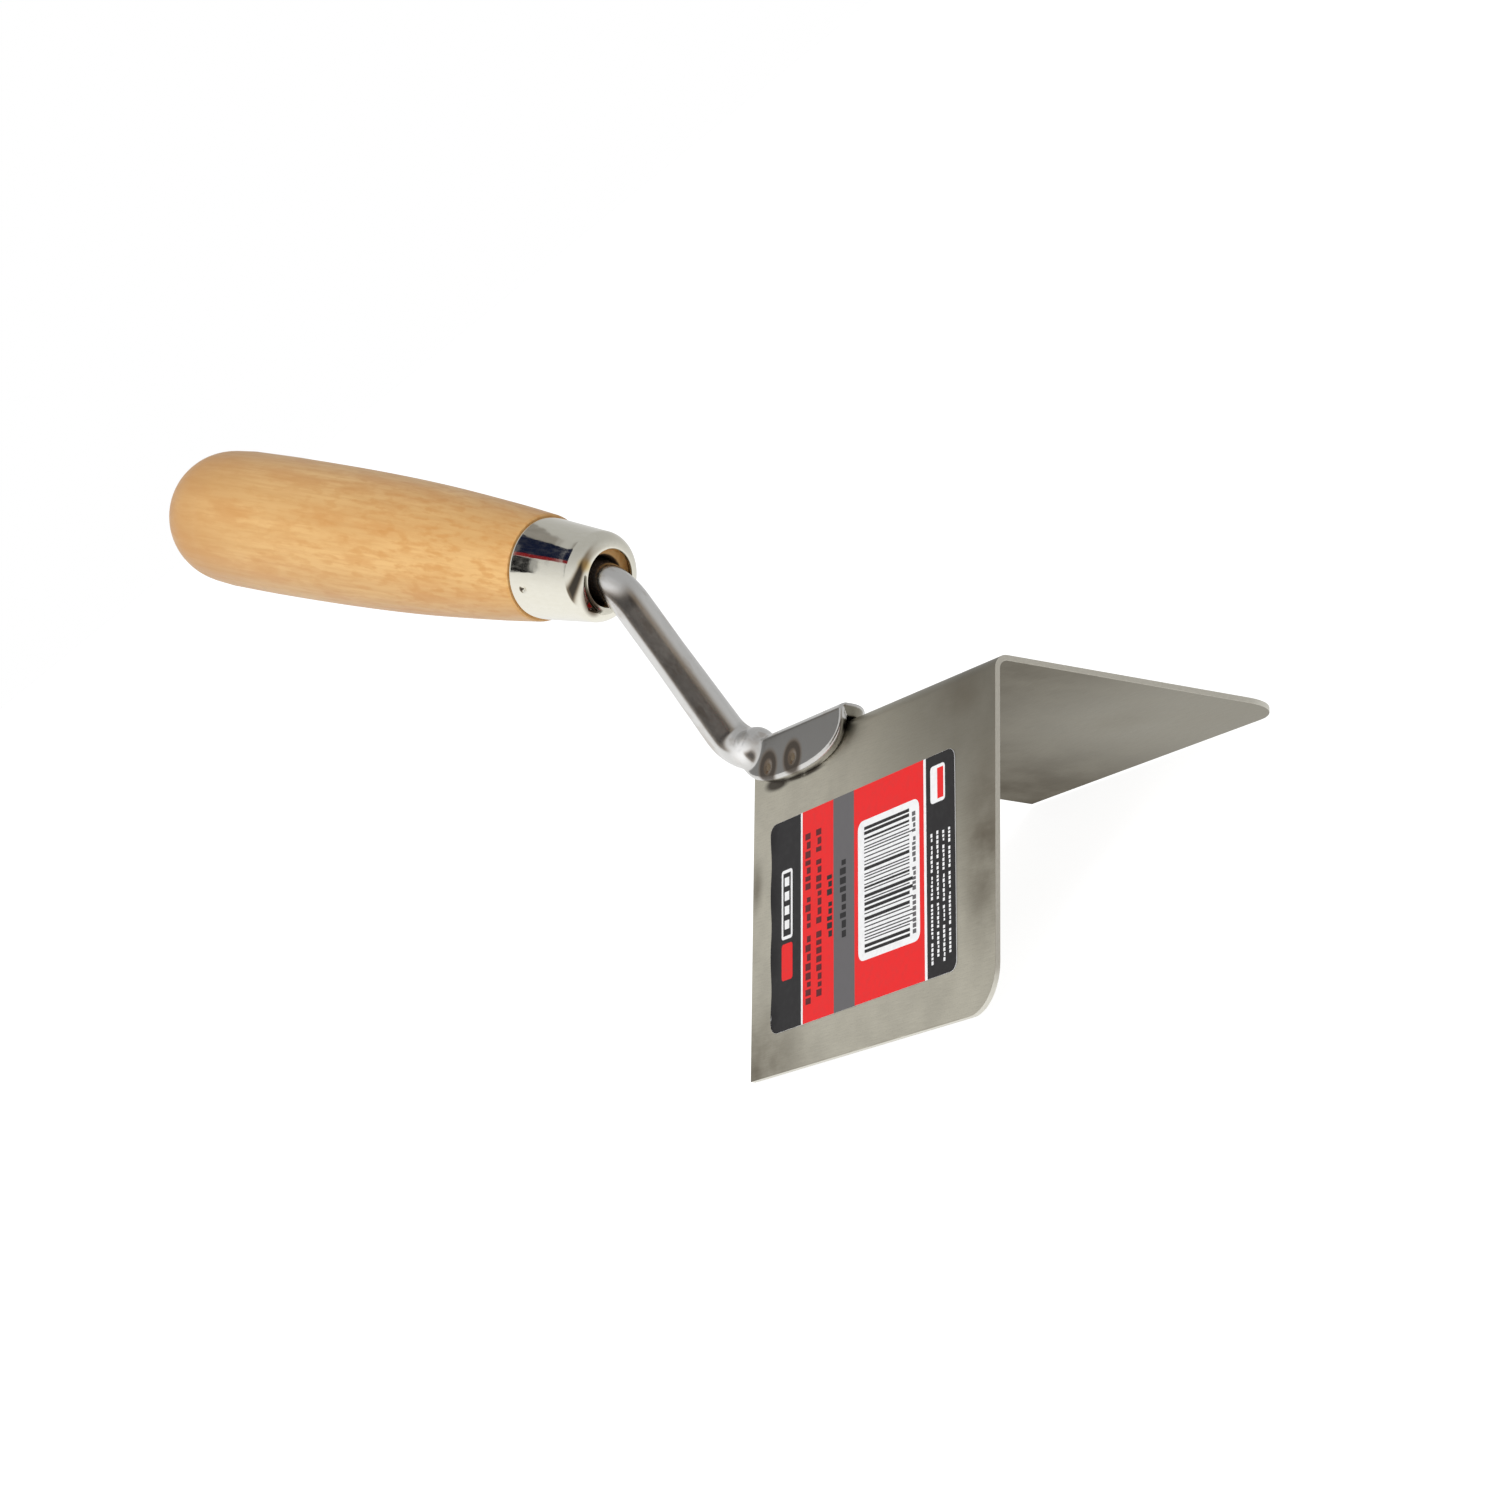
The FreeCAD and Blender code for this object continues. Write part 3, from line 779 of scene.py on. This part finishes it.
def make_ferrule():
    bend_centre = (MOUTH - FERRULE_SHOULDER, FERRULE_FRONT - FERRULE_SHOULDER)
    stop = math.degrees(math.asin((MOUTH_RADIUS + 0.25 - bend_centre[1]) / FERRULE_SHOULDER))
    taper = (FERRULE_REAR - FERRULE_FRONT) / (MOUTH - FERRULE_SHOULDER - GRIP)
    outer = [(GRIP + 0.02, FERRULE_REAR - 0.2), (GRIP + 0.12, FERRULE_REAR - 0.03)]
    for x in list(np.linspace(GRIP + 0.35, GRIP + 5, 22)) + list(np.linspace(GRIP + 5.8, bend_centre[0], 8)):
        outer.append((x, FERRULE_REAR - taper * (x - GRIP)))
    outer += arc(bend_centre, FERRULE_SHOULDER, 86, stop, 16)
    lip = outer[-1]
    outer += [
        (lip[0] - 0.05, MOUTH_RADIUS + 0.08),
        (lip[0] - 0.25, MOUTH_RADIUS),
        (lip[0] - FERRULE_WALL, MOUTH_RADIUS + 0.15),
    ]
    outer += arc(bend_centre, FERRULE_SHOULDER - FERRULE_WALL, stop + 4, 86, 10)
    outer.append((GRIP + 0.02, FERRULE_REAR - FERRULE_WALL))
    obj = lathe("ferrule_shell", outer, [ferrule_material()], 256, stake_dent)
    return attach(obj, "ferrule_plate", "ferrule")


# ---- label ----

label_low, label_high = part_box("label")
LABEL_MIDDLE = (label_low + label_high) / 2
LABEL_LENGTH = 61.0
LABEL_HEIGHT = 38.2
LABEL_SKEW = math.radians(1.2)
LABEL_FILM = 0.12
LABEL_CORNER = 1.8


def label_lift(s, t):
    """How far the sticker stands off the wing: its rear edge has come a little loose."""
    loose = max(0.0, 1 - s / 3.2)
    wave = 0.55 + 0.45 * math.sin(t * 0.55 + 0.7)
    return 0.24 * loose**2 * wave


def label_point(s, t, height):
    """A point of the sticker: s runs from its rear edge forward, t from its top edge down."""
    x, d = s - LABEL_LENGTH / 2, t - LABEL_HEIGHT / 2
    turn_x = x * math.cos(LABEL_SKEW) + d * math.sin(LABEL_SKEW)
    turn_d = d * math.cos(LABEL_SKEW) - x * math.sin(LABEL_SKEW)
    middle_x = (LABEL_MIDDLE.x - ROOF.x) / MM
    middle_down = (LABEL_MIDDLE.z - ROOF.z) / MM / -SLANT
    lift = 0.02 + height + label_lift(s, t)
    point = wing_point(-1, middle_x + turn_x, middle_down + turn_d, lift)
    return point


def rounded_outline(s0, t0, s1, t1, radius, corners=(1, 1, 1, 1), count=5, step=1.2):
    """A closed outline of a rectangle, split into short edges, with chosen corners rounded."""
    out = []
    places = ((s0, t0, 180), (s1, t0, 270), (s1, t1, 0), (s0, t1, 90))
    for (s, t, first), use in zip(places, corners):
        if not use or radius <= 0:
            out.append((s, t))
            continue
        cs = s + radius if s == s0 else s - radius
        ct = t + radius if t == t0 else t - radius
        for turn in np.radians(np.linspace(first, first + 90, count)):
            out.append((cs + radius * math.cos(turn), ct + radius * math.sin(turn)))
    fine = []
    for (a, b), (c, d) in zip(out, out[1:] + out[:1]):
        parts = max(1, int(math.hypot(c - a, d - b) / step))
        fine += [(a + (c - a) * k / parts, b + (d - b) * k / parts) for k in range(parts)]
    return fine


class Print:
    """Flat inked patches on the sticker, gathered into one mesh."""

    def __init__(self):
        self.points, self.faces, self.inks = [], [], []

    def patch(self, ink, s0, t0, s1, t1, level, radius=0.0, corners=(1, 1, 1, 1)):
        """A patch split into strips along s, so that it can follow the sticker's lifted edge."""
        cuts = max(1, int((s1 - s0) / 0.8)) if s0 < 4 else 1
        rows = max(1, int((t1 - t0) / 1.5)) if s0 < 4 else 1
        if radius > 0:
            outline = rounded_outline(s0, t0, s1, t1, radius, corners)
            middle = ((s0 + s1) / 2, (t0 + t1) / 2)
            base = len(self.points)
            rings = (1.0, 0.93, 0.86, 0.78, 0.7, 0.6, 0.5, 0.25)
            for ring in rings:
                for s, t in outline:
                    place = (middle[0] + (s - middle[0]) * ring, middle[1] + (t - middle[1]) * ring)
                    self.points.append(label_point(*place, level))
            count = len(outline)
            for r in range(len(rings) - 1):
                for k in range(count):
                    j = (k + 1) % count
                    a, b = base + r * count, base + (r + 1) * count
                    self.add(ink, [a + k, b + k, b + j, a + j])
            last = base + (len(rings) - 1) * count
            self.points.append(label_point(*middle, level))
            for k in range(count):
                self.add(ink, [last + k, len(self.points) - 1, last + (k + 1) % count])
            return
        base = len(self.points)
        for i in range(cuts + 1):
            for j in range(rows + 1):
                s = s0 + (s1 - s0) * i / cuts
                t = t0 + (t1 - t0) * j / rows
                self.points.append(label_point(s, t, level))
        for i in range(cuts):
            for j in range(rows):
                a = base + i * (rows + 1) + j
                self.add(ink, [a, a + 1, a + rows + 2, a + rows + 1])

    def add(self, ink, face):
        self.faces.append(face)
        self.inks.append(ink)

    def words(self, rng, ink, s0, s1, t_low, t_high, letter, level):
        """A line of plain dashes that stands for printing. It holds no letters."""
        t = t_high
        run = rng.randint(5, 9)
        while t - letter > t_low:
            width = letter * rng.choice((0.7, 0.9, 1.0))
            inset = (s1 - s0) * rng.choice((0.0, 0.0, 0.28))
            self.patch(ink, s0 + inset, t - width, s1, t, level)
            t -= width + letter * 0.34
            run -= 1
            if run == 0:
                t -= letter * 0.8
                run = rng.randint(4, 9)


def make_label():
    inks = [
        ink_material("ink_black", (0.014, 0.013, 0.014)),
        ink_material("ink_red", (0.84, 0.016, 0.017)),
        ink_material("ink_grey", (0.13, 0.125, 0.13)),
        ink_material("paper_white", (0.94, 0.94, 0.945)),
        ink_material("ink_maroon", (0.11, 0.008, 0.012)),
    ]
    black, red, grey, white, maroon = range(5)
    rng = random.Random(41)
    printed = Print()
    high, wide = LABEL_HEIGHT, LABEL_LENGTH
    film = LABEL_FILM
    one, two, three, four = (film + 0.012 * k for k in range(1, 5))
    left_corners, right_corners = (1, 0, 0, 1), (0, 1, 1, 0)
    printed.patch(black, 0.02, 0.02, 10.3, high - 0.02, one, LABEL_CORNER, left_corners)
    printed.patch(red, 10.9, 0.0, 21.5, high, one)
    printed.patch(grey, 21.5, 0.0, 28.5, high, one)
    printed.patch(red, 28.5, 0.0, 51.2, high, one)
    printed.patch(black, 52.0, 0.02, wide - 0.02, high - 0.02, one, LABEL_CORNER, right_corners)
    printed.patch(white, 29.8, 6.2, 49.8, 30.9, two, 1.6)
    t = 7.4
    while t < 29.6:
        thick = rng.choice((0.22, 0.22, 0.4, 0.58))
        printed.patch(black, 31.9, t, 46.6 if rng.random() < 0.85 else 47.6, t + thick, three)
        t += thick + rng.choice((0.28, 0.36, 0.52))
    printed.words(rng, grey, 47.5, 48.6, 7.6, 29.4, 0.75, three)
    printed.patch(white, 3.6, 9.2, 7.4, 21.8, two, 0.6)
    printed.patch(black, 4.2, 9.8, 6.8, 21.2, three)
    printed.patch(red, 3.6, 22.6, 7.4, 29.2, two, 0.6)
    for k in range(4):
        printed.patch(white, 4.7, 10.6 + 2.6 * k, 6.3, 12.2 + 2.6 * k, four)
    printed.words(rng, maroon, 11.9, 13.7, 1.6, 35.0, 1.25, two)
    printed.words(rng, maroon, 15.6, 17.4, 2.6, 34.2, 1.25, two)
    printed.words(rng, black, 19.3, 21.0, 12.2, 24.4, 1.1, two)
    printed.words(rng, black, 23.7, 25.7, 10.0, 25.4, 1.35, two)
    printed.patch(white, 53.4, 1.9, 58.0, 8.4, two, 0.7)
    printed.patch(red, 55.6, 2.5, 57.5, 7.8, three)
    for k in range(4):
        start = 53.3 + 1.85 * k
        printed.words(rng, white, start, start + 0.62, 12.8, 36.0 - 1.1 * (k % 2), 0.62, two)
    art = make_mesh("label_print", roof_to_row(printed.points), printed.faces, inks)
    for polygon, ink in zip(art.data.polygons, printed.inks):
        polygon.material_index = ink
    attach(art, "label_paper")

    outline = rounded_outline(0, 0, wide, high, LABEL_CORNER, step=0.8)
    middle = (wide / 2, high / 2)
    rings = [1.0, 0.985, 0.97, 0.955, 0.94, 0.92, 0.9, 0.6, 0.3]
    points, faces = [], []
    for level in (film, 0.0):
        for ring in rings:
            for s, t in outline:
                place = (middle[0] + (s - middle[0]) * ring, middle[1] + (t - middle[1]) * ring)
                points.append(label_point(*place, level))
        points.append(label_point(*middle, level))
    count = len(outline)
    layer = len(rings) * count + 1
    for level in range(2):
        for r in range(len(rings)):
            for k in range(count):
                j = (k + 1) % count
                a = level * layer + r * count
                b = a + count
                if r < len(rings) - 1:
                    face = [a + k, b + k, b + j, a + j]
                else:
                    face = [a + k, level * layer + layer - 1, a + j]
                faces.append(face if level == 0 else face[::-1])
    for k in range(count):
        j = (k + 1) % count
        faces.append([k, j, layer + j, layer + k])
    film_obj = make_mesh("label_film", roof_to_row(points), faces, [inks[white]])
    return attach(film_obj, "label_paper", "label")


# ---- weld nuggets ----


def make_welds():
    """Slightly sunk discs of weld metal, left by the electrodes in the saddle's faces."""
    material = bpy.data.materials.new("weld_metal")
    g = Graph(material)
    rings = g.noise(place_in_mm(g), (1.4, 1.4, 1.4), 4.0)
    colour = g.mix(rings, (0.16, 0.115, 0.07), (0.27, 0.21, 0.14))
    g.finish(Base_Color=colour, Metallic=1.0, Roughness=0.42, Normal=g.bump(rings, 0.5, 0.00015))
    points, faces = [], []
    around, bands = 40, 6
    for along, side in weld_centres():
        base = len(points)
        for level in range(2):
            for band in range(1, bands + 1):
                reach = 1.15 * band / bands
                bulge = 0.10 * math.cos(math.pi / 2 * band / bands)
                for k in range(around):
                    turn = 2 * math.pi * k / around
                    height = SADDLE_WALL - 0.23 + bulge if level == 0 else SADDLE_WALL - 0.6
                    points.append(
                        wing_point(side, along + reach * math.cos(turn), 4.3 + reach * math.sin(turn), height)
                    )
            points.append(wing_point(side, along, 4.3, SADDLE_WALL - (0.13 if level == 0 else 0.6)))
        layer = bands * around + 1
        for level in range(2):
            low = base + level * layer
            for k in range(around):
                j = (k + 1) % around
                quads = [[low + k, low + layer - 1, low + j]]
                for band in range(bands - 1):
                    a = low + band * around
                    quads.append([a + k, a + j, a + around + j, a + around + k])
                if (level == 0) == (side > 0):
                    quads = [q[::-1] for q in quads]
                faces += quads
        rim = base + (bands - 1) * around
        for k in range(around):
            j = (k + 1) % around
            faces.append([rim + k, rim + j, rim + layer + j, rim + layer + k])
    obj = make_mesh("weld_nuggets", roof_to_row(points), faces, [material])
    return attach(obj, "weld_steel", "spot_welds")


# ---- stage ----


CAMERA_PLACE = Vector((605.89, -396.05, 123.26)) * MM
CAMERA_RIGHT = Vector((0.49516, 0.62375, -0.60478))
CAMERA_UP = Vector((0.21421, 0.58696, 0.78076))
CAMERA_BACK = Vector((0.84198, -0.51615, 0.15702))


def make_floor():
    material = bpy.data.materials.new("pale_floor")
    g = Graph(material)
    dust = g.noise(g.node("TexCoord").outputs["Object"], (3, 3, 3))
    g.finish(
        Base_Color=g.mix(dust, (0.40, 0.40, 0.40), (0.42, 0.42, 0.42)),
        Roughness=0.9,
        Emission_Color=(1, 1, 1),
        Emission_Strength=g.math("MULTIPLY", g.node("LightPath").outputs["Is Camera Ray"], 0.90),
    )
    reach, depth = 3.0, blade_low.z - 0.0003
    corners = [(-reach, -reach, depth), (reach, -reach, depth), (reach, reach, depth), (-reach, reach, depth)]
    floor = make_mesh("studio_floor", corners, [[0, 1, 2, 3]], [material])
    floor.visible_glossy = floor.visible_diffuse = floor.visible_shadow = False


def seen_in_ferrule(station, turn):
    """The point a little way off that the camera sees mirrored at this place on the ferrule.

    turn is in degrees, from the side that faces the camera upwards.
    """
    towards = CAMERA_PLACE - (BUTT + HANDLE_AXIS * station * MM)
    front = (towards - HANDLE_AXIS * towards.dot(HANDLE_AXIS)).normalized()
    above = front.cross(HANDLE_AXIS)
    if above.dot(CAMERA_UP) < 0:
        above = -above
    out = front * math.cos(math.radians(turn)) + above * math.sin(math.radians(turn))
    taper = (FERRULE_REAR - FERRULE_FRONT) / (MOUTH - FERRULE_SHOULDER - GRIP)
    radius = FERRULE_REAR - taper * (station - GRIP)
    place = BUTT + (HANDLE_AXIS * station + out * radius) * MM
    normal = (out + HANDLE_AXIS * taper).normalized()
    ray = (place - CAMERA_PLACE).normalized()
    return place + (ray - 2 * ray.dot(normal) * normal) * 130 * MM


def make_dark_cards():
    """Dark cards off to one side, seen only as the stepped dark band in the ferrule."""
    cards = (
        ("dark_card_haze", 10.0, (36, 60), (27, 38), (0.22, 0.21, 0.20)),
        ("dark_card_long", 14.0, (12, 36), (13, 27), (0.006, 0.009, 0.026)),
        ("dark_card_edge", 13.0, (8, 12), (9, 13), (0.17, 0.012, 0.015)),
        ("dark_card_short", 6.4, (-12, 8), (-8, 8), (0.005, 0.005, 0.006)),
    )
    rows, cols = 10, 7
    for name, length, rear, nose, tone in cards:
        points = []
        for share in np.linspace(0, 1, rows):
            station = GRIP - 2 + (length + 2) * share
            low = rear[0] + (nose[0] - rear[0]) * share
            high = rear[1] + (nose[1] - rear[1]) * share
            points += [seen_in_ferrule(station, turn) for turn in np.linspace(low, high, cols)]
        faces = [
            [a, a + 1, a + cols + 1, a + cols]
            for a in range((rows - 1) * cols)
            if a % cols < cols - 1
        ]
        material = bpy.data.materials.new(name)
        g = Graph(material)
        cloud = g.noise(g.node("TexCoord").outputs["Object"], (30, 30, 30))
        g.finish(
            Base_Color=(0, 0, 0),
            Specular_IOR_Level=0.0,
            Emission_Color=g.mix(cloud, tone, tuple(1.6 * c for c in tone)),
            Emission_Strength=1.0,
        )
        card = make_mesh(name, points, faces, [material])
        card.visible_camera = card.visible_diffuse = card.visible_shadow = False


def make_camera():
    data = bpy.data.cameras.new("studio_camera")
    data.sensor_width = 36
    data.lens = 101.575
    camera = bpy.data.objects.new("studio_camera", data)
    bpy.context.scene.collection.objects.link(camera)
    axes = Matrix((CAMERA_RIGHT, CAMERA_UP, CAMERA_BACK)).transposed().to_4x4()
    camera.matrix_world = Matrix.Translation(CAMERA_PLACE) @ axes
    bpy.context.scene.camera = camera


def add_area(name, direction, distance, size, power, colour=(1, 1, 1)):
    data = bpy.data.lights.new(name, "AREA")
    data.shape = "RECTANGLE"
    data.size, data.size_y = size
    data.energy = power
    data.color = colour
    lamp = bpy.data.objects.new(name, data)
    bpy.context.scene.collection.objects.link(lamp)
    lamp.location = direction.normalized() * distance
    lamp.rotation_mode = "QUATERNION"
    lamp.rotation_quaternion = direction.to_track_quat("Z", "Y")
    return lamp


def make_light():
    world = bpy.data.worlds.new("white_room")
    bpy.context.scene.world = world
    g = Graph(world)
    way = g.node("TexCoord").outputs["Generated"]
    over = g.vector("DOT_PRODUCT", way, tuple(CAMERA_UP))
    tent = g.span(over, -0.7, 0.9, 1.02, 0.50)
    level_right = Vector((0, 0, 1)).cross(CAMERA_BACK).normalized()
    sideways = g.vector("DOT_PRODUCT", way, tuple(level_right))
    upwards = g.vector("DOT_PRODUCT", way, (0, 0, 1))
    front = g.span(g.vector("DOT_PRODUCT", way, tuple(CAMERA_BACK)), 0.0, 0.2)

    def dark_room(margin, soft):
        """The unlit room behind the camera, as a window of directions."""
        across = g.window(sideways, -0.29, 0.70 + margin, soft)
        along = g.window(upwards, -0.04, 0.28 + margin / 4, soft)
        return g.math("MULTIPLY", g.math("MULTIPLY", across, along), front)

    colour = g.mix(dark_room(0.40, 0.20), (1, 1, 1), (0.40, 0.33, 0.26))
    colour = g.mix(dark_room(0.0, 0.14), colour, (0.065, 0.058, 0.054))
    level = g.mix(1.0, colour, tent, "MULTIPLY")
    soft_level = g.span(over, -0.9, 0.9, 0.36, 0.52)
    level = g.mix(g.node("LightPath").outputs["Is Diffuse Ray"], level, soft_level)
    seen = g.node("LightPath").outputs["Is Camera Ray"]
    glow = g.mix(seen, level, (1, 1, 1))
    background = g.node("Background", {"Color": glow, "Strength": 1.0})
    output = g.node("OutputWorld")
    g.tree.links.new(background.outputs[0], output.inputs["Surface"])
    key = Vector((0.35, -0.75, 0.56))
    fill = CAMERA_BACK - CAMERA_UP
    for lamp in (
        add_area("key_softbox", key, 0.9, (0.6, 0.6), 4.6),
        add_area("fill_softbox", fill, 0.9, (0.6, 0.6), 2.2),
    ):
        lamp.visible_glossy = False


make_blade()
make_tang()
make_tail()
make_handle()
make_ferrule()
make_welds()
make_label()
make_floor()
make_dark_cards()
make_camera()
make_light()
bpy.context.scene.view_settings.view_transform = "Standard"
